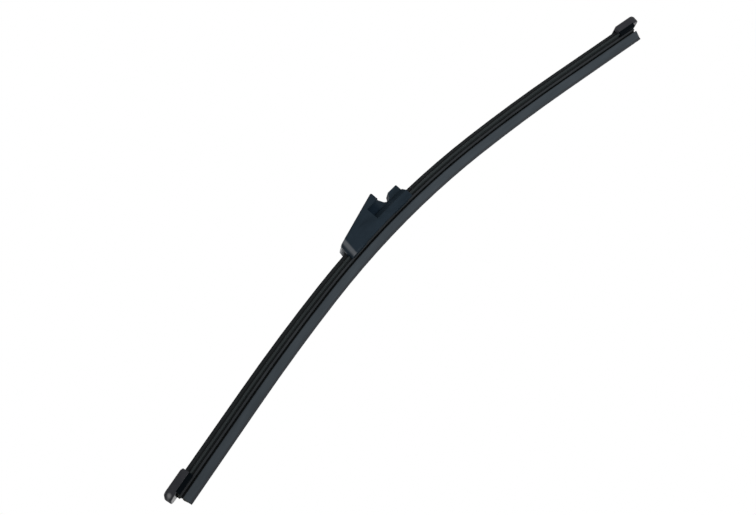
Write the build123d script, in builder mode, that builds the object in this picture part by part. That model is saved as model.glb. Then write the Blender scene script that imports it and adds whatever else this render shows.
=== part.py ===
from build123d import *
import os
from math import asin, cos, radians, sin, sqrt, tan

# Flat wiper blade for a rear window: rubber strip, two spring rails, two end caps and a pin connector.
# The origin is on the axis of the arm's cross pin. +X runs along the blade towards the connector's jaw,
# +Y runs along the pin and +Z points away from the glass. Lengths are in millimetres, angles in degrees.
# Heights that start with h_ are measured from the wiping edge, square to the blade.

# Bow of the blade, at the middle of the rails' thickness, each turn on one side of the middle
rubber_length = 337.0
centre_radius = 490.0
centre_turn = 6.4
outer_radius = 1050.0
outer_turn = 3.3

# Section of the rubber strip
lip_width = 0.8
lip_root_width = 1.1
lip_height = 1.1
body_width = 4.7
body_height = 4.4
body_side_height = 0.45
neck_width = 1.1
neck_height = 1.15
neck_flare = 0.2
rib_width = 4.0
rib_height = 0.95
waist_width = 3.2
waist_height = 0.75
crown_width = 5.4
crown_side_height = 1.0
crown_top_width = 2.4
crown_height = 2.65
crown_edge_radius = 0.35

# Spring rails
rail_width = 3.45
rail_thickness = 0.9
rail_spacing = 1.3
rail_edge_chamfer = 0.15
rail_setback = 2.5
notch_depth = 0.9
cap_notch_length = 3.0
cap_notch_setback = 2.2
connector_notch_length = 4.5
connector_notch_reach = 17.0

# Clearances
groove_clearance = 0.04
rail_clearance = 0.1
rubber_clearance = 0.25
lug_clearance = 0.1
cap_end_clearance = 0.5
pin_clearance = 0.05

# End caps, lengths along the blade from the rubber's end
cap_cover_length = 10.0
cap_nose_length = 4.1
cap_nose_lift = 1.35
cap_side_wall = 1.0
cap_roof = 1.1
cap_roof_bevel = 1.4
cap_roof_land = 0.3
cap_claw_thickness = 0.9
cap_nose_edge_radius = 0.45
cap_nose_corner_radius = 2.8
cap_roof_radius = 1.7
cap_step_depth = 0.3

# Connector, heights named z_ measured from the pin's axis
pin_radius = 2.25
pin_above_crown = 4.2
connector_side_wall = 1.7
connector_claw_thickness = 1.3
claw_length = 9.0
claw_setback = 2.4
base_roof = 1.0
base_shoulder = 2.4
base_reach = 9.3
nose_reach = 35.4
nose_height = 8.1
nose_lean = 12.5
nose_corner_radius = 2.8
hood_edge_radius = 1.0
hood_wall = 1.6
hood_end_gap = 3.7
hood_end_radius = 0.6
z_hood_peak = 5.9
z_pocket_ceiling = 1.4
pocket_reach = 11.6
web_width = 6.0
web_reach = 13.0
web_setback = 0.3
ramp_ledge = 0.7
z_ramp_top = 1.9
jaw_gap = 0.9
z_jaw_top = 0.55
jaw_setback = 0.2
jaw_radius = 0.5

# Cuts run past the faces they open, and lugs are rooted in their walls
overrun = 1.0
root = 0.5

# Heights above the wiping edge
h_shoulder = body_height
h_rib = h_shoulder + neck_height
h_waist = h_rib + rib_height
h_rail = h_waist + waist_height
h_rail_top = h_rail + rail_thickness
h_crown = h_rail_top + crown_height
h_spine = (h_rail + h_rail_top) / 2
h_pin = h_crown + pin_above_crown
h_slot = h_rail - rail_clearance
h_slot_top = h_rail_top + rail_clearance
h_cavity = h_crown + rubber_clearance
h_cap = h_slot - cap_claw_thickness
h_cap_top = h_cavity + cap_roof
h_base = h_slot - connector_claw_thickness
h_base_top = h_cavity + base_roof

# Distances from the blade's middle plane
rail_inner = rail_spacing / 2
rail_outer = rail_inner + rail_width
slot_half = rail_outer + rail_clearance
claw_half = max(rib_width, waist_width) / 2 + rubber_clearance
crown_cavity_half = crown_width / 2 + rubber_clearance
lug_half = rail_outer - notch_depth + lug_clearance
cap_half = slot_half + cap_side_wall
connector_half = slot_half + connector_side_wall

# Bow line
end_turn = centre_turn + outer_turn
bow_centre_z = h_spine - h_pin - centre_radius
centre_length = centre_radius * radians(centre_turn)
outer_length = outer_radius * radians(outer_turn)


def arc_z(height, x):
    """Z of a point of the middle arc at a height above the wiping edge."""
    radius = centre_radius + height - h_spine
    return bow_centre_z + sqrt(radius**2 - x**2)


def bow_end(half_length):
    """X and Z of the bow's right end, half_length along the bow from its middle."""
    straight = half_length - centre_length - outer_length
    middle_turn = radians(centre_turn)
    last_turn = radians(end_turn)
    x = centre_radius * sin(middle_turn) + outer_radius * (sin(last_turn) - sin(middle_turn))
    z = centre_radius * cos(middle_turn) + outer_radius * (cos(last_turn) - cos(middle_turn))
    return x + straight * cos(last_turn), bow_centre_z + z - straight * sin(last_turn)


def bow_path(half_length):
    """Straight end, outer arc, middle arc, outer arc and straight end, from left to right."""
    straight = half_length - centre_length - outer_length
    x, z = bow_end(half_length)
    with BuildLine() as line:
        left = PolarLine((-x, z), straight, end_turn)
        outer_left = JernArc(left @ 1, left % 1, outer_radius, -outer_turn)
        middle = JernArc(outer_left @ 1, outer_left % 1, centre_radius, -2 * centre_turn)
        outer_right = JernArc(middle @ 1, middle % 1, outer_radius, -outer_turn)
        PolarLine(outer_right @ 1, straight, -end_turn)
    return line.wire().moved(Plane.XZ.location)


def arc_path(start_x, end_x):
    """Stretch of the middle arc between two X positions."""
    with BuildLine() as line:
        ThreePointArc(
            (start_x, arc_z(h_spine, start_x)),
            ((start_x + end_x) / 2, arc_z(h_spine, (start_x + end_x) / 2)),
            (end_x, arc_z(h_spine, end_x)),
        )
    return line.wire().moved(Plane.XZ.location)


def section_plane(path):
    """Plane square to a path at its left end, origin at the wiping edge, x across and y upwards."""
    along = path % 0
    upward = Vector(-along.Z, 0, along.X)
    return Plane(origin=path @ 0 - upward * h_spine, x_dir=(0, 1, 0), z_dir=along)


def arc_plane(x):
    """Plane along the middle arc at X, origin at the wiping edge, x along the blade and z upwards."""
    turn = asin(x / centre_radius)
    upward = Vector(sin(turn), 0, cos(turn))
    spine_point = Vector(x, 0, arc_z(h_spine, x))
    return Plane(origin=spine_point - upward * h_spine, x_dir=(cos(turn), 0, -sin(turn)), z_dir=upward)


def end_plane(side):
    """Plane along a straight end, origin at the end of the wiping edge, x outwards and z upwards."""
    turn = radians(end_turn)
    x, z = bow_end(rubber_length / 2)
    upward = Vector(side * sin(turn), 0, cos(turn))
    outward = Vector(side * cos(turn), 0, -sin(turn))
    return Plane(origin=Vector(side * x, 0, z) - upward * h_spine, x_dir=outward, z_dir=upward)


def upright(plane):
    """Plane through the same origin with x along the blade and y upwards."""
    return Plane(origin=plane.origin, x_dir=plane.x_dir, z_dir=plane.x_dir.cross(plane.z_dir))


def across(plane):
    """Plane through the same origin with x across the blade, y upwards and z inwards along the blade."""
    return Plane(origin=plane.origin, x_dir=-plane.y_dir, z_dir=-plane.x_dir)


def both_halves(right_half):
    """Closed outline from its right half, listed from the bottom to the top."""
    return right_half + [(-x, y) for x, y in reversed(right_half)]


os.makedirs("parts", exist_ok=True)

# Rubber strip
with BuildPart() as wiper_rubber:
    rubber_path = bow_path(rubber_length / 2)
    groove_bottom = h_rail - groove_clearance
    groove_top = h_rail_top + groove_clearance
    groove_root = rail_inner - groove_clearance
    with BuildSketch(section_plane(rubber_path)) as rubber_section:
        with BuildLine():
            Polyline(
                both_halves([
                    (lip_width / 2, 0),
                    (lip_root_width / 2, lip_height),
                    (body_width / 2, h_shoulder - body_side_height),
                    (body_width / 2, h_shoulder),
                    (neck_width / 2, h_shoulder + neck_flare),
                    (neck_width / 2, h_rib - neck_flare),
                    (rib_width / 2, h_rib),
                    (rib_width / 2, h_waist),
                    (waist_width / 2, h_waist),
                    (waist_width / 2, groove_bottom),
                    (groove_root, groove_bottom),
                    (groove_root, groove_top),
                    (crown_width / 2, groove_top),
                    (crown_width / 2, h_rail_top + crown_side_height),
                    (crown_top_width / 2, h_crown),
                ]),
                close=True,
            )
        make_face()
        fillet(rubber_section.vertices().sort_by(Axis.Y)[-4:], crown_edge_radius)
    sweep(path=rubber_path)
wiper_rubber.part.label = "wiper_rubber"
export_step(wiper_rubber.part, "parts/wiper_rubber.step")

# Spring rails, with notches on their outer edges for the connector and the caps
cap_notch_x = -(rail_setback + cap_notch_setback + cap_notch_length / 2)
for rail_side, rail_name in ((-1, "spring_rail_front"), (1, "spring_rail_rear")):
    with BuildPart() as spring_rail:
        rail_path = bow_path(rubber_length / 2 - rail_setback)
        with BuildSketch(section_plane(rail_path)) as rail_section:
            with Locations((rail_side * (rail_inner + rail_outer) / 2, h_spine)):
                Rectangle(rail_width, rail_thickness)
            chamfer(rail_section.vertices(), rail_edge_chamfer)
        sweep(path=rail_path)
        with BuildSketch(arc_plane(-connector_notch_reach).offset(h_spine)):
            with Locations((0, rail_side * rail_outer)):
                Rectangle(connector_notch_length, 2 * notch_depth)
        extrude(amount=rail_thickness, both=True, mode=Mode.SUBTRACT)
        for end_side in (-1, 1):
            with BuildSketch(end_plane(end_side).offset(h_spine)):
                with Locations((cap_notch_x, rail_side * end_side * rail_outer)):
                    Rectangle(cap_notch_length, 2 * notch_depth)
            extrude(amount=rail_thickness, both=True, mode=Mode.SUBTRACT)
    spring_rail.part.label = rail_name
    export_step(spring_rail.part, f"parts/{rail_name}.step")

# End caps, alike and turned end for end
for cap_side, cap_name in ((-1, "end_cap_left"), (1, "end_cap_right")):
    cap_plane = end_plane(cap_side)
    outward = Axis(cap_plane.origin, cap_plane.x_dir)
    upward = Axis(cap_plane.origin, cap_plane.z_dir)
    with BuildPart() as end_cap:
        # Block with a rounded nose and a rounded roof
        with BuildSketch(cap_plane.offset(h_cap)) as cap_plan:
            with Locations(((cap_nose_length - cap_cover_length) / 2, 0)):
                Rectangle(cap_nose_length + cap_cover_length, 2 * cap_half)
            fillet(cap_plan.vertices().sort_by(Axis.X)[-2:], cap_nose_corner_radius)
        extrude(amount=h_cap_top - h_cap)
        roof = end_cap.faces().sort_by(upward)[-1]
        fillet(roof.edges().sort_by(outward)[1:], cap_roof_radius)

        # Nose stands higher than the skirts, and the roof falls towards the blade
        with BuildSketch(upright(cap_plane)):
            with Locations((0, h_cap)):
                Rectangle(cap_nose_length, cap_nose_lift, align=Align.MIN)
            with BuildLine():
                Polyline(
                    (-cap_cover_length, h_cavity + cap_roof_land),
                    (-cap_cover_length, h_cap_top),
                    (cap_roof_bevel - cap_cover_length, h_cap_top),
                    close=True,
                )
            make_face()
        extrude(amount=cap_half, both=True, mode=Mode.SUBTRACT)
        nose_underside = end_cap.faces().sort_by(upward)[:3].sort_by(outward)[-1]
        fillet(nose_underside.edges().sort_by(outward)[1:], cap_nose_edge_radius)

        # Skirts stand back under the rails' top
        with BuildSketch(across(cap_plane)):
            for skirt_side in (-1, 1):
                with Locations((skirt_side * cap_half, h_cap)):
                    Rectangle(2 * cap_step_depth, 2 * (h_slot_top - h_cap))
        extrude(amount=cap_cover_length, mode=Mode.SUBTRACT)

        # Cavity for the head of the rubber and the rail ends
        with BuildSketch(across(cap_plane).offset(-cap_end_clearance)):
            with BuildLine():
                Polyline(
                    both_halves([
                        (claw_half, h_cap - overrun),
                        (claw_half, h_slot),
                        (slot_half, h_slot),
                        (slot_half, h_slot_top),
                        (crown_cavity_half, h_slot_top),
                        (crown_cavity_half, h_cavity),
                    ]),
                    close=True,
                )
            make_face()
        extrude(amount=cap_end_clearance + cap_cover_length + overrun, mode=Mode.SUBTRACT)

        # Lugs in the rails' notches
        with BuildSketch(cap_plane.offset(h_slot)):
            for lug_side in (-1, 1):
                with Locations((cap_notch_x, lug_side * (lug_half + slot_half) / 2)):
                    Rectangle(cap_notch_length - 2 * lug_clearance, slot_half - lug_half)
        extrude(amount=h_slot_top - h_slot)
    end_cap.part.label = cap_name
    export_step(end_cap.part, f"parts/{cap_name}.step")

# Foot of the hood's nose and rise of its top line
z_nose = arc_z(h_base, -nose_reach)
hood_rise = (z_hood_peak - z_nose - nose_height) / (nose_reach - hood_end_gap)


def hood_line(inset, x):
    """Z of the hood's top line at X, moved inwards by inset."""
    return z_hood_peak + hood_rise * (x + hood_end_gap) - inset * sqrt(1 + hood_rise**2)


def hood_corner(inset):
    """X and Z where the nose line and the hood's top line meet, both moved inwards by inset."""
    lean = tan(radians(nose_lean))
    nose_x = -nose_reach + inset / cos(radians(nose_lean))
    x = (nose_x + lean * (hood_line(inset, 0) - z_nose)) / (1 - lean * hood_rise)
    return x, hood_line(inset, x)


def on_arc(height, x):
    """X and Z of a point of the middle arc at a height above the wiping edge."""
    return x, arc_z(height, x)


# Connector: wedge hood, base on the rails, centre web with the pin's saddle, jaw, claws and lugs
with BuildPart() as connector:
    # Hood, rounded at its nose and cut away under its mouth
    with BuildSketch(Plane.XZ):
        with BuildLine():
            Polyline(
                on_arc(h_base, -pocket_reach),
                (-pocket_reach, z_pocket_ceiling),
                (-hood_end_gap, z_pocket_ceiling),
                (-hood_end_gap, z_hood_peak),
                hood_corner(0),
                on_arc(h_base, -nose_reach),
            )
            ThreePointArc(
                on_arc(h_base, -nose_reach),
                on_arc(h_base, -(nose_reach + pocket_reach) / 2),
                on_arc(h_base, -pocket_reach),
            )
        make_face()
    extrude(amount=connector_half, both=True)
    nose_edges = connector.faces().sort_by(Axis.X)[0].edges().sort_by(Axis.Y)
    fillet([nose_edges[0], nose_edges[-1]], nose_corner_radius)
    hood_top = connector.faces().filter_by(Axis.Y, reverse=True).sort_by(SortBy.AREA)[-1]
    fillet(hood_top.edges().sort_by(Axis.X)[:-1], hood_edge_radius)
    hood_end = connector.faces().filter_by(Axis.X).sort_by(Axis.X)[-1]
    fillet(hood_end.edges().sort_by(Axis.Z)[1:], hood_end_radius)

    # Hollow of the hood, open at the mouth
    inner_x = hood_corner(hood_wall)[0]
    with BuildSketch(Plane.XZ):
        with BuildLine():
            floor = ThreePointArc(
                on_arc(h_base_top, inner_x),
                on_arc(h_base_top, (inner_x - hood_end_gap) / 2),
                on_arc(h_base_top, -hood_end_gap),
            )
            mouth_top = (-hood_end_gap, hood_line(hood_wall, -hood_end_gap))
            Polyline(floor @ 1, mouth_top, hood_corner(hood_wall), floor @ 0)
        make_face()
    extrude(amount=connector_half - hood_wall, both=True, mode=Mode.SUBTRACT)

    # Base over the rails
    base_path = arc_path(-pocket_reach - hood_wall, base_reach)
    with BuildSketch(section_plane(base_path)):
        with BuildLine():
            Polyline(
                both_halves([
                    (connector_half, h_base),
                    (connector_half, h_base_top - base_shoulder),
                    (connector_half - base_shoulder, h_base_top),
                ]),
                close=True,
            )
        make_face()
    sweep(path=base_path)

    # Centre web with the ramp, the saddle and the jaw
    seat_radius = pin_radius + pin_clearance
    jaw_start = seat_radius + jaw_gap
    jaw_end = base_reach - jaw_setback
    web_end = -hood_end_gap - web_setback
    ramp_start = web_end + ramp_ledge
    with BuildSketch(Plane.XZ) as web_profile:
        with BuildLine():
            Polyline(
                on_arc(h_base_top - base_roof / 2, -web_reach),
                (-web_reach, hood_line(hood_wall / 2, -web_reach)),
                (web_end, hood_line(hood_wall / 2, web_end)),
                (web_end, z_ramp_top),
                (ramp_start, z_ramp_top),
                (jaw_start, z_jaw_top),
                (jaw_end, z_jaw_top),
                on_arc(h_base_top - base_roof / 2, jaw_end),
                close=True,
            )
        make_face()
        fillet(web_profile.vertices().sort_by(Axis.X)[-2:].sort_by(Axis.Y)[-1], jaw_radius)
    extrude(amount=web_width / 2, both=True)
    with BuildSketch(Plane.XZ):
        with BuildLine():
            CenterArc((0, 0), seat_radius, 0, 360)
            Line((ramp_start, z_ramp_top), (jaw_start, z_jaw_top))
        make_hull()
    extrude(amount=web_width / 2, both=True, mode=Mode.SUBTRACT)

    # Channel for the rails and the head of the rubber
    channel_path = arc_path(-nose_reach - overrun, base_reach + overrun)
    with BuildSketch(section_plane(channel_path)):
        with BuildLine():
            Polyline(
                both_halves([
                    (slot_half, h_base - overrun),
                    (slot_half, h_slot_top),
                    (crown_cavity_half, h_slot_top),
                    (crown_cavity_half, h_cavity),
                ]),
                close=True,
            )
        make_face()
    sweep(path=channel_path, mode=Mode.SUBTRACT)

    # Claws under the rails
    for claw_start in (claw_setback - nose_reach, base_reach - claw_setback - claw_length):
        claw_path = arc_path(claw_start, claw_start + claw_length)
        with BuildSketch(section_plane(claw_path)):
            for claw_side in (-1, 1):
                with Locations((claw_side * (claw_half + slot_half + root) / 2, (h_base + h_slot) / 2)):
                    Rectangle(slot_half + root - claw_half, h_slot - h_base)
        sweep(path=claw_path)

    # Lugs in the rails' notches
    with BuildSketch(arc_plane(-connector_notch_reach).offset(h_rail)):
        for lug_side in (-1, 1):
            with Locations((0, lug_side * (lug_half + slot_half + root) / 2)):
                Rectangle(connector_notch_length - 2 * lug_clearance, slot_half + root - lug_half)
    extrude(amount=h_slot_top + root - h_rail)
connector.part.label = "connector"
export_step(connector.part, "parts/connector.step")
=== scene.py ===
import math

import bpy
from mathutils import Matrix, Vector


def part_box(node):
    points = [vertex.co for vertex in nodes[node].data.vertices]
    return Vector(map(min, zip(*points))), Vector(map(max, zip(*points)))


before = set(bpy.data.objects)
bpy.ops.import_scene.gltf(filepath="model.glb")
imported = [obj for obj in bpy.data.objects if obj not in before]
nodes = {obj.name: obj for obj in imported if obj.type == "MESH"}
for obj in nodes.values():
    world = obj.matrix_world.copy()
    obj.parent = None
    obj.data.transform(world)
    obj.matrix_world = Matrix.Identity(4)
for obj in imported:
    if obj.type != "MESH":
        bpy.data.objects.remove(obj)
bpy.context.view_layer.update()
scene = bpy.context.scene
MM = 0.001
WHITE = (1.0, 1.0, 1.0)

# Heights of the blade's section above the wiping edge, and how softly its zones end, in millimetres
lip_top, lip_fade = 1.1, 0.1
body_top, body_fade = 4.4, 0.15
rib_low, rib_high, rib_fade = 5.55, 6.5, 0.05
spine_height = 7.7
rail_half = 0.45
rail_top, skirt_fade = spine_height + rail_half, 0.12

# Bow of the blade in millimetres, at the middle of the rails' thickness
centre_radius = 490.0
centre_turn = math.radians(6.4)
outer_radius = 1050.0
end_turn = math.radians(9.7)
spine_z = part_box("spring_rail_front")[1].z / MM - rail_half

# Caps in millimetres: where their noses start, and the painted highlight on the left nose's corner, a
# clear-coat sheen, with its reach and core
nose_start = 167.0
highlight_along, highlight_height = -170.1, 9.5
highlight_reach, highlight_core = 1.3, 0.4

# Distance that the connector's zones keep from the faces beside them, in millimetres
zone_margin = 0.1

# Connector in millimetres from the pin's axis: nose, edges, web, pockets beside it, base and pin saddle
nose_end, nose_fade = -30.0, 5.0
nose_edge, moulded_edge = 2.2, 0.18
web_half = 3.0
web_outside, web_inside = web_half + zone_margin, web_half - zone_margin / 2
pocket_start, pocket_end, pocket_fade = -11.7, -4.2, 2.5
pocket_floor, pocket_ceiling = -3.5, 1.5
base_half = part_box("connector")[1].y / MM
base_inside = base_half - zone_margin
base_end, base_floor = 9.4, -7.0
saddle_start, saddle_end = -4.0, 3.22
saddle_floor, saddle_top = -2.4, 1.85

# Painted highlight on the upright corners of the connector's nose, laid as a clear-coat sheen: their line,
# the gloss past that line and its depth from the side
corner_start, corner_slope = -30.7, 0.15
gloss_rise, gloss_fall = (-0.9, -0.1), (2.0, 1.0)
gloss_depth, gloss_full = 1.5, 0.5

# Darkest and lightest tone of each surface
bare_rubber = (0.015, 0.017, 0.018), (0.025, 0.028, 0.030)
lighter_rib = (0.028, 0.031, 0.034), (0.042, 0.046, 0.050)
coated_wedge = (0.035, 0.043, 0.050), (0.052, 0.063, 0.073)
ground_lip = (0.038, 0.042, 0.047), (0.046, 0.050, 0.056)
cut_end = (0.034, 0.038, 0.031), (0.052, 0.057, 0.047)
coated_steel = (0.016, 0.020, 0.021), (0.029, 0.035, 0.036)
satin_cap = (0.022, 0.023, 0.028), (0.040, 0.041, 0.047)
# Painted shade: the skirts under the rails' top are coloured near black for the shadow gap under the cap's
# side
skirt_painted_shade = (0.002, 0.003, 0.004), (0.004, 0.006, 0.008)
blue_black = (0.009, 0.016, 0.023), (0.018, 0.029, 0.041)
# Painted shade: a darker tone for the pockets beside the web, under the hood
pocket_painted_shade = (0.007, 0.014, 0.022), (0.011, 0.019, 0.030)

# Roughness of each surface, as the least and the most where it varies
rubber_rough = 0.70, 0.86
lip_rough = 0.55
cut_rough = 0.90
steel_rough = 0.34, 0.48
cap_rough = 0.16, 0.24
connector_rough = 0.26, 0.36
sheen_rough = 0.2
matt_rough, matt_tint = 0.75, (0.1, 0.1, 0.1)

# Ranges that hold most of a noise, of grain and lines added up, and of a moulding's wear
noise_range = 0.3, 0.7
strip_range = 0.45, 0.95
wear_range = 0.35, 0.65

# How squarely a face looks along the blade where the strip's cut ends and the caps' fronts begin
cut_facing = 0.90, 0.95
front_facing = 0.45, 0.65


class Nodes:
    """A node tree with short calls for the nodes that it is built from."""

    def __init__(self, tree):
        self.tree = tree

    def find(self, name):
        """A node that the tree came with."""
        return self.tree.nodes[name]

    def add(self, kind, **settings):
        """A new node with its settings."""
        node = self.tree.nodes.new(kind)
        for key, value in settings.items():
            setattr(node, key, value)
        return node

    def link(self, source, target):
        self.tree.links.new(source, target)

    def math(self, operation, *values):
        """Result of an operation on sockets and plain numbers."""
        node = self.add("ShaderNodeMath", operation=operation)
        for socket, value in zip(node.inputs, values):
            if isinstance(value, (int, float)):
                socket.default_value = value
            else:
                self.link(value, socket)
        return node.outputs["Value"]

    def span(self, value, low, high, out_low=0.0, out_high=1.0):
        """A value moved from one range to another and held inside it."""
        node = self.add("ShaderNodeMapRange")
        self.link(value, node.inputs["Value"])
        numbers = {"From Min": low, "From Max": high, "To Min": out_low, "To Max": out_high}
        for key, number in numbers.items():
            node.inputs[key].default_value = number
        return node.outputs["Result"]

    def seen_rays(self):
        """1 for what the camera sees, also in gloss and through glass."""
        rays = self.add("ShaderNodeLightPath")
        seen = rays.outputs["Is Camera Ray"]
        for kind in ("Is Glossy Ray", "Is Transmission Ray"):
            seen = self.math("MAXIMUM", seen, rays.outputs[kind])
        return seen


def new_material(name):
    """A material with nodes."""
    material = bpy.data.materials.new(name)
    material.use_nodes = True
    return material


class Skin(Nodes):
    """A piece's material, with its place along, across and up in millimetres.

    On a bowed piece, up is square to the bow and starts at the wiping edge.
    """

    def __init__(self, name, bowed=True):
        self.material = new_material(name)
        super().__init__(self.material.node_tree)
        self.shader = self.find("Principled BSDF")
        metres = self.add("ShaderNodeSeparateXYZ")
        self.link(self.add("ShaderNodeTexCoord").outputs["Object"], metres.inputs["Vector"])
        self.along, self.across, self.height = (
            self.math("DIVIDE", metres.outputs[axis], MM) for axis in "XYZ")
        if bowed:
            self.height = self.bow_height(self.along, self.height)
        self.place = self.add("ShaderNodeCombineXYZ")
        for socket, value in zip(self.place.inputs, (self.along, self.across, self.height)):
            self.link(value, socket)

    def between(self, factor, a, b):
        """Number a where the factor is 0, number b where it is 1, and a mix of both in between."""
        return self.math("MULTIPLY_ADD", factor, self.math("SUBTRACT", b, a), a)

    def radius(self, x, z):
        """Distance from the middle of a circle, by its two parts."""
        return self.math("SQRT", self.math("MULTIPLY_ADD", x, x, self.math("MULTIPLY", z, z)))

    def bow_height(self, x, z):
        """Height above the wiping edge, square to the bow: middle arc, outer arcs and straight ends."""
        side = self.math("ABSOLUTE", x)
        shift = outer_radius - centre_radius
        centre_z = spine_z - centre_radius
        outer_x, outer_z = -shift * math.sin(centre_turn), centre_z - shift * math.cos(centre_turn)
        middle = self.radius(side, self.math("SUBTRACT", z, centre_z))
        middle = self.math("SUBTRACT", middle, centre_radius)
        outer = self.radius(self.math("SUBTRACT", side, outer_x), self.math("SUBTRACT", z, outer_z))
        outer = self.math("SUBTRACT", outer, outer_radius)
        end_x = outer_x + outer_radius * math.sin(end_turn)
        end_z = outer_z + outer_radius * math.cos(end_turn)
        straight = self.math("MULTIPLY", self.math("SUBTRACT", side, end_x), math.sin(end_turn))
        straight = self.math("MULTIPLY_ADD", self.math("SUBTRACT", z, end_z), math.cos(end_turn), straight)
        past_middle = self.math("GREATER_THAN", side, centre_radius * math.sin(centre_turn))
        past_outer = self.math("GREATER_THAN", side, end_x)
        over_spine = self.between(past_outer, self.between(past_middle, middle, outer), straight)
        return self.math("ADD", over_spine, spine_height)

    def scaled(self, along, across):
        """Place times one scale along the blade, and another across it and upwards."""
        node = self.add("ShaderNodeMapping")
        node.inputs["Scale"].default_value = (along, across, across)
        self.link(self.place.outputs["Vector"], node.inputs["Vector"])
        return node.outputs["Vector"]

    def noise(self, along, across, detail=3.0, rough=0.55, distortion=0.0):
        """Noise with so many grains to the millimetre along the blade, and across it and upwards."""
        node = self.add("ShaderNodeTexNoise")
        self.link(self.scaled(along, across), node.inputs["Vector"])
        node.inputs["Scale"].default_value = 1.0
        node.inputs["Detail"].default_value = detail
        node.inputs["Roughness"].default_value = rough
        node.inputs["Distortion"].default_value = distortion
        return node.outputs["Fac"]

    def cells(self, per_mm):
        """Distance from the middles of small cells, for a spark-eroded mould grain."""
        node = self.add("ShaderNodeTexVoronoi")
        self.link(self.scaled(per_mm, per_mm), node.inputs["Vector"])
        node.inputs["Scale"].default_value = 1.0
        return node.outputs["Distance"]

    def inside(self, *ranges):
        """1 where each (value, low, high) lies inside its range, and 0 elsewhere."""
        result = 1.0
        for value, low, high in ranges:
            result = self.math("MULTIPLY", result, self.math("GREATER_THAN", value, low))
            result = self.math("MULTIPLY", result, self.math("LESS_THAN", value, high))
        return result

    def facing(self, axis):
        """Size of the surface normal's part along an axis."""
        split = self.add("ShaderNodeSeparateXYZ")
        self.link(self.add("ShaderNodeNewGeometry").outputs["True Normal"], split.inputs["Vector"])
        return self.math("ABSOLUTE", split.outputs[axis])

    def ramp(self, value, first, last, stops=noise_range):
        """Colour that goes from first to last as the value goes from stop to stop."""
        node = self.add("ShaderNodeValToRGB")
        for point, position, colour in zip(node.color_ramp.elements, stops, (first, last)):
            point.position = position
            point.color = (*colour, 1.0)
        self.link(value, node.inputs["Fac"])
        return node.outputs["Color"]

    def mix(self, factor, a, b):
        """Colour a where the factor is 0 and colour b where it is 1."""
        node = self.add("ShaderNodeMix", data_type="RGBA")
        for key, value in (("Factor", factor), ("A", a), ("B", b)):
            self.link(value, node.inputs[key])
        return node.outputs["Result"]

    def soft_edges(self, radius_mm):
        """Normal that turns smoothly round the edges, as moulded and drawn edges do."""
        node = self.add("ShaderNodeBevel", samples=12)
        self.link(self.math("MULTIPLY", radius_mm, MM), node.inputs["Radius"])
        return node.outputs["Normal"]

    def bump(self, height, depth_mm, under):
        """Surface relief of a depth in millimetres on top of another relief."""
        node = self.add("ShaderNodeBump")
        node.inputs["Strength"].default_value = 1.0
        node.inputs["Distance"].default_value = depth_mm * MM
        self.link(height, node.inputs["Height"])
        self.link(under, node.inputs["Normal"])
        return node.outputs["Normal"]

    def dull(self, zone):
        """Takes most of the gloss away where the zone is 1."""
        gloss = self.ramp(zone, WHITE, matt_tint, stops=(0.0, 1.0))
        self.link(gloss, self.shader.inputs["Specular Tint"])

    def lay_sheen(self, zone, ior):
        """Lays a clear gloss over the finish where the zone is 1."""
        self.link(zone, self.shader.inputs["Coat Weight"])
        self.shader.inputs["Coat IOR"].default_value = ior
        self.shader.inputs["Coat Roughness"].default_value = sheen_rough

    def finish(self, colour, roughness, normal, specular):
        """The material, with its colour, roughness and relief linked."""
        self.link(colour, self.shader.inputs["Base Color"])
        self.link(roughness, self.shader.inputs["Roughness"])
        self.link(normal, self.shader.inputs["Normal"])
        self.shader.inputs["Specular IOR Level"].default_value = specular
        return self.material


def rubber_finish():
    """Extruded rubber: drawn lines along the strip, a lighter rib, coated wedge, ground lip and cut ends.
    """
    skin = Skin("extruded_rubber")
    drawn = skin.noise(along=0.03, across=2.6, detail=4.0)
    cloud = skin.noise(along=0.07, across=0.22)
    grain = skin.noise(along=7.0, across=9.0, detail=4.0, rough=0.6)
    ground = skin.noise(along=7.0, across=0.6)
    drawn_share, grain_share = 0.45, 0.4
    over_neck = skin.span(skin.height, rib_low - rib_fade, rib_low)
    on_rib = skin.math("MULTIPLY", over_neck, skin.span(skin.height, rib_high + rib_fade, rib_high))
    in_wedge = skin.span(skin.height, body_top + body_fade, body_top)
    in_lip = skin.span(skin.height, lip_top, lip_top - lip_fade)
    at_end = skin.span(skin.facing("X"), *cut_facing)
    tone = skin.between(drawn_share, cloud, drawn)
    colour = skin.mix(on_rib, skin.ramp(tone, *bare_rubber), skin.ramp(tone, *lighter_rib))
    colour = skin.mix(in_wedge, colour, skin.ramp(tone, *coated_wedge))
    colour = skin.mix(in_lip, colour, skin.ramp(ground, *ground_lip))
    colour = skin.mix(at_end, colour, skin.ramp(grain, *cut_end))
    roughness = skin.math("MULTIPLY_ADD", grain, grain_share, drawn)
    roughness = skin.span(roughness, *strip_range, *rubber_rough)
    roughness = skin.between(at_end, skin.between(in_lip, roughness, lip_rough), cut_rough)
    relief = skin.bump(grain, depth_mm=0.012, under=skin.soft_edges(radius_mm=0.10))
    relief = skin.bump(drawn, depth_mm=0.020, under=relief)
    relief = skin.bump(skin.math("MULTIPLY", ground, in_lip), depth_mm=0.004, under=relief)
    return skin.finish(colour, roughness, relief, specular=0.05)


def rail_finish():
    """Black coated spring steel with a faint orange peel over the drawn strip."""
    skin = Skin("coated_spring_steel")
    peel = skin.noise(along=2.2, across=2.6, detail=2.0)
    drawn = skin.noise(along=0.04, across=6.0)
    colour = skin.ramp(drawn, *coated_steel)
    roughness = skin.span(peel, *noise_range, *steel_rough)
    relief = skin.bump(peel, depth_mm=0.006, under=skin.soft_edges(radius_mm=0.08))
    relief = skin.bump(drawn, depth_mm=0.004, under=relief)
    return skin.finish(colour, roughness, relief, specular=0.07)


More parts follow.
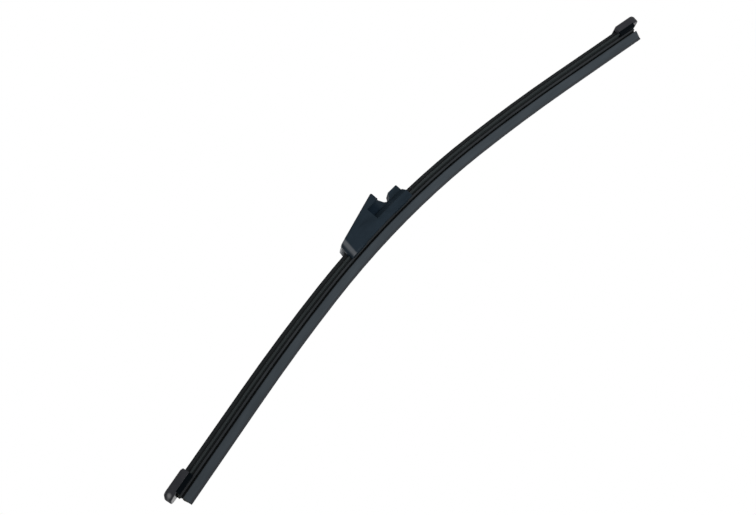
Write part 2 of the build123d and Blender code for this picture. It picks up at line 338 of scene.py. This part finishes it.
def moulded_grain(skin, edge_mm):
    """Tone, wear and relief of a spark-eroded moulding with flow marks, fine grain and soft edges."""
    pits = skin.cells(per_mm=7.0)
    fine = skin.noise(along=16.0, across=16.0)
    flow = skin.noise(along=0.10, across=0.25, distortion=0.6)
    pits_share, fine_share = 0.4, 0.5
    tone = skin.between(pits_share, flow, pits)
    wear = skin.between(fine_share, flow, fine)
    relief = skin.bump(pits, depth_mm=0.005, under=skin.soft_edges(edge_mm))
    relief = skin.bump(fine, depth_mm=0.002, under=relief)
    return tone, wear, relief


def cap_finish():
    """Satin cap, matt on its fronts, with painted shade on the skirts under the rails' top and a painted
    highlight on one nose corner, laid as a clear-coat sheen.
    """
    skin = Skin("cap_plastic")
    tone, wear, relief = moulded_grain(skin, edge_mm=0.14)
    before_nose = skin.math("LESS_THAN", skin.math("ABSOLUTE", skin.along), nose_start)
    # Painted shade: the skirts under the rails' top get a near-black colour and lose most of their gloss,
    # for the shadow gap under the cap's side
    under_rail_top = skin.span(skin.height, rail_top + skirt_fade, rail_top)
    skirt_shade_zone = skin.math("MULTIPLY", under_rail_top, before_nose)
    matt = skin.math("MAXIMUM", skirt_shade_zone, skin.span(skin.facing("X"), *front_facing))
    colour = skin.mix(skirt_shade_zone, skin.ramp(tone, *satin_cap), skin.ramp(tone, *skirt_painted_shade))
    roughness = skin.between(matt, skin.span(wear, *wear_range, *cap_rough), matt_rough)
    skin.dull(skirt_shade_zone)
    # Painted highlight: a round clear-coat sheen on the left nose's corner, where a highlight falls
    from_corner = skin.radius(skin.math("SUBTRACT", skin.along, highlight_along),
                              skin.math("SUBTRACT", skin.height, highlight_height))
    skin.lay_sheen(skin.span(from_corner, highlight_reach, highlight_core), ior=2.0)
    return skin.finish(colour, roughness, relief, specular=0.08)


def connector_finish():
    """Blue-black moulding with a soft nose, matt recesses, painted shade in the pockets beside the web and
    a painted highlight on the nose's upright corners, laid as a clear-coat sheen.
    """
    skin = Skin("connector_plastic", bowed=False)
    edge = skin.span(skin.along, nose_end, nose_end + nose_fade, nose_edge, moulded_edge)
    tone, wear, relief = moulded_grain(skin, edge)
    side = skin.math("ABSOLUTE", skin.across)
    # Painted shade: the pockets beside the web are coloured darker and dulled, fading out towards the
    # pocket's end, for the shade under the hood
    pocket_shade_zone = skin.inside((skin.along, pocket_start, pocket_end),
                            (skin.across, -web_outside, web_outside),
                            (skin.height, pocket_floor, pocket_ceiling))
    off_pocket_end = skin.span(skin.along, pocket_end, pocket_end - pocket_fade)
    pocket_shade_zone = skin.math("MULTIPLY", pocket_shade_zone, off_pocket_end)
    on_shoulder = skin.inside((skin.along, pocket_start, base_end),
                              (side, web_outside, base_inside),
                              (skin.height, base_floor, pocket_ceiling))
    in_saddle = skin.inside((skin.along, saddle_start, saddle_end),
                            (skin.across, -web_inside, web_inside),
                            (skin.height, saddle_floor, saddle_top))
    matt = skin.math("MAXIMUM", in_saddle, skin.math("MAXIMUM", pocket_shade_zone, on_shoulder))
    colour = skin.mix(pocket_shade_zone, skin.ramp(tone, *blue_black), skin.ramp(tone, *pocket_painted_shade))
    roughness = skin.between(matt, skin.span(wear, *wear_range, *connector_rough), matt_rough)
    skin.dull(matt)
    # Painted highlight: a clear-coat sheen along the nose's upright corners, where a highlight falls
    corner = skin.math("MULTIPLY_ADD", skin.height, corner_slope, corner_start)
    past_corner = skin.math("SUBTRACT", corner, skin.along)
    highlight_stripe = skin.math("MULTIPLY", skin.span(past_corner, *gloss_rise), skin.span(past_corner, *gloss_fall))
    at_side = skin.span(side, base_half - gloss_depth, base_half - gloss_full)
    skin.lay_sheen(skin.math("MULTIPLY", highlight_stripe, at_side), ior=1.75)
    return skin.finish(colour, roughness, relief, specular=0.06)


rail = rail_finish()
cap = cap_finish()
finishes = {
    "wiper_rubber": rubber_finish(),
    "spring_rail_front": rail,
    "spring_rail_rear": rail,
    "end_cap_left": cap,
    "end_cap_right": cap,
    "connector": connector_finish(),
}
for name, node in nodes.items():
    node.data.materials.clear()
    node.data.materials.append(finishes[name])


# Stage in metres: a white room with a pale floor well under the blade
room_light, room_seen = 0.50, 1.0
floor_reach, floor_z = 8.0, -1.2
paper_grey, paper_rough = 0.88, 0.9
glow_near, glow_far = 1.0, 2.2
glow_least, glow_most = 0.7, 1.0
middle_z = -0.015


def white_room():
    """A world that looks white, and is weaker as light on the blade."""
    world = bpy.data.worlds.new("studio")
    world.use_nodes = True
    room = Nodes(world.node_tree)
    background = room.find("Background")
    background.inputs["Color"].default_value = (*WHITE, 1.0)
    strength = room.span(room.seen_rays(), 0.0, 1.0, room_light, room_seen)
    room.link(strength, background.inputs["Strength"])
    return world


def pale_floor():
    """Paper that looks white far out, and shows a part of its own shade near the blade."""
    material = new_material("pale_floor")
    paper = Nodes(material.node_tree)
    shade = paper.find("Principled BSDF")
    shade.inputs["Base Color"].default_value = (paper_grey, paper_grey, paper_grey, 1.0)
    shade.inputs["Roughness"].default_value = paper_rough
    shade.inputs["Specular IOR Level"].default_value = 0.0
    glow = paper.add("ShaderNodeEmission")
    glow.inputs["Color"].default_value = (*WHITE, 1.0)
    distance = paper.add("ShaderNodeVectorMath", operation="LENGTH")
    paper.link(paper.add("ShaderNodeTexCoord").outputs["Object"], distance.inputs[0])
    share = paper.span(distance.outputs["Value"], glow_near, glow_far, glow_least, glow_most)
    blend = paper.add("ShaderNodeMixShader")
    paper.link(paper.math("MULTIPLY", paper.seen_rays(), share), blend.inputs["Fac"])
    paper.link(shade.outputs["BSDF"], blend.inputs[1])
    paper.link(glow.outputs["Emission"], blend.inputs[2])
    paper.link(blend.outputs["Shader"], paper.find("Material Output").inputs["Surface"])
    return material


def lamp(name, place, aim, size, power, spread=180.0):
    """Rectangular lamp aimed at a point and unseen by the camera: power in watts, spread in degrees."""
    data = bpy.data.lights.new(name, "AREA")
    data.shape = "RECTANGLE"
    data.size, data.size_y = size
    data.energy = power
    data.spread = math.radians(spread)
    light = bpy.data.objects.new(name, data)
    light.location = place
    light.rotation_euler = (Vector(aim) - Vector(place)).to_track_quat("-Z", "Y").to_euler()
    light.visible_camera = False
    scene.collection.objects.link(light)


scene.world = white_room()
floor_mesh = bpy.data.meshes.new("floor")
floor_signs = (-1, -1), (1, -1), (1, 1), (-1, 1)
floor_corners = [(x * floor_reach, y * floor_reach, floor_z) for x, y in floor_signs]
floor_mesh.from_pydata(floor_corners, [], [(0, 1, 2, 3)])
floor_mesh.materials.append(pale_floor())
floor = bpy.data.objects.new("floor", floor_mesh)
scene.collection.objects.link(floor)
lamp("key", place=(0.05, -0.32, -0.32), aim=(0.05, 0.0, middle_z), size=(0.30, 0.22), power=0.38,
     spread=90.0)
lamp("back", place=(0.1, 0.75, 0.55), aim=(0.0, 0.0, middle_z), size=(0.9, 0.5), power=4.0)


# Camera at the photograph's viewing angle, in metres and degrees
camera_place = (-0.238669, -0.533153, -0.117094)
azimuth, elevation, roll = map(math.radians, (-21.9166, -9.8196, 49.3168))
lens_mm, sensor_mm = 59.152, 36.0
clip_near, clip_far = 0.01, 50.0

camera_data = bpy.data.cameras.new("camera")
camera_data.lens = lens_mm
camera_data.sensor_width = sensor_mm
camera_data.sensor_fit = "HORIZONTAL"
camera_data.clip_start, camera_data.clip_end = clip_near, clip_far
camera = bpy.data.objects.new("camera", camera_data)
scene.collection.objects.link(camera)
turn = Matrix.Rotation(azimuth, 4, "Z") @ Matrix.Rotation(math.pi / 2 - elevation, 4, "X")
turn = turn @ Matrix.Rotation(-roll, 4, "Z")
camera.matrix_world = Matrix.Translation(camera_place) @ turn
scene.camera = camera
scene.view_settings.view_transform = "Standard"
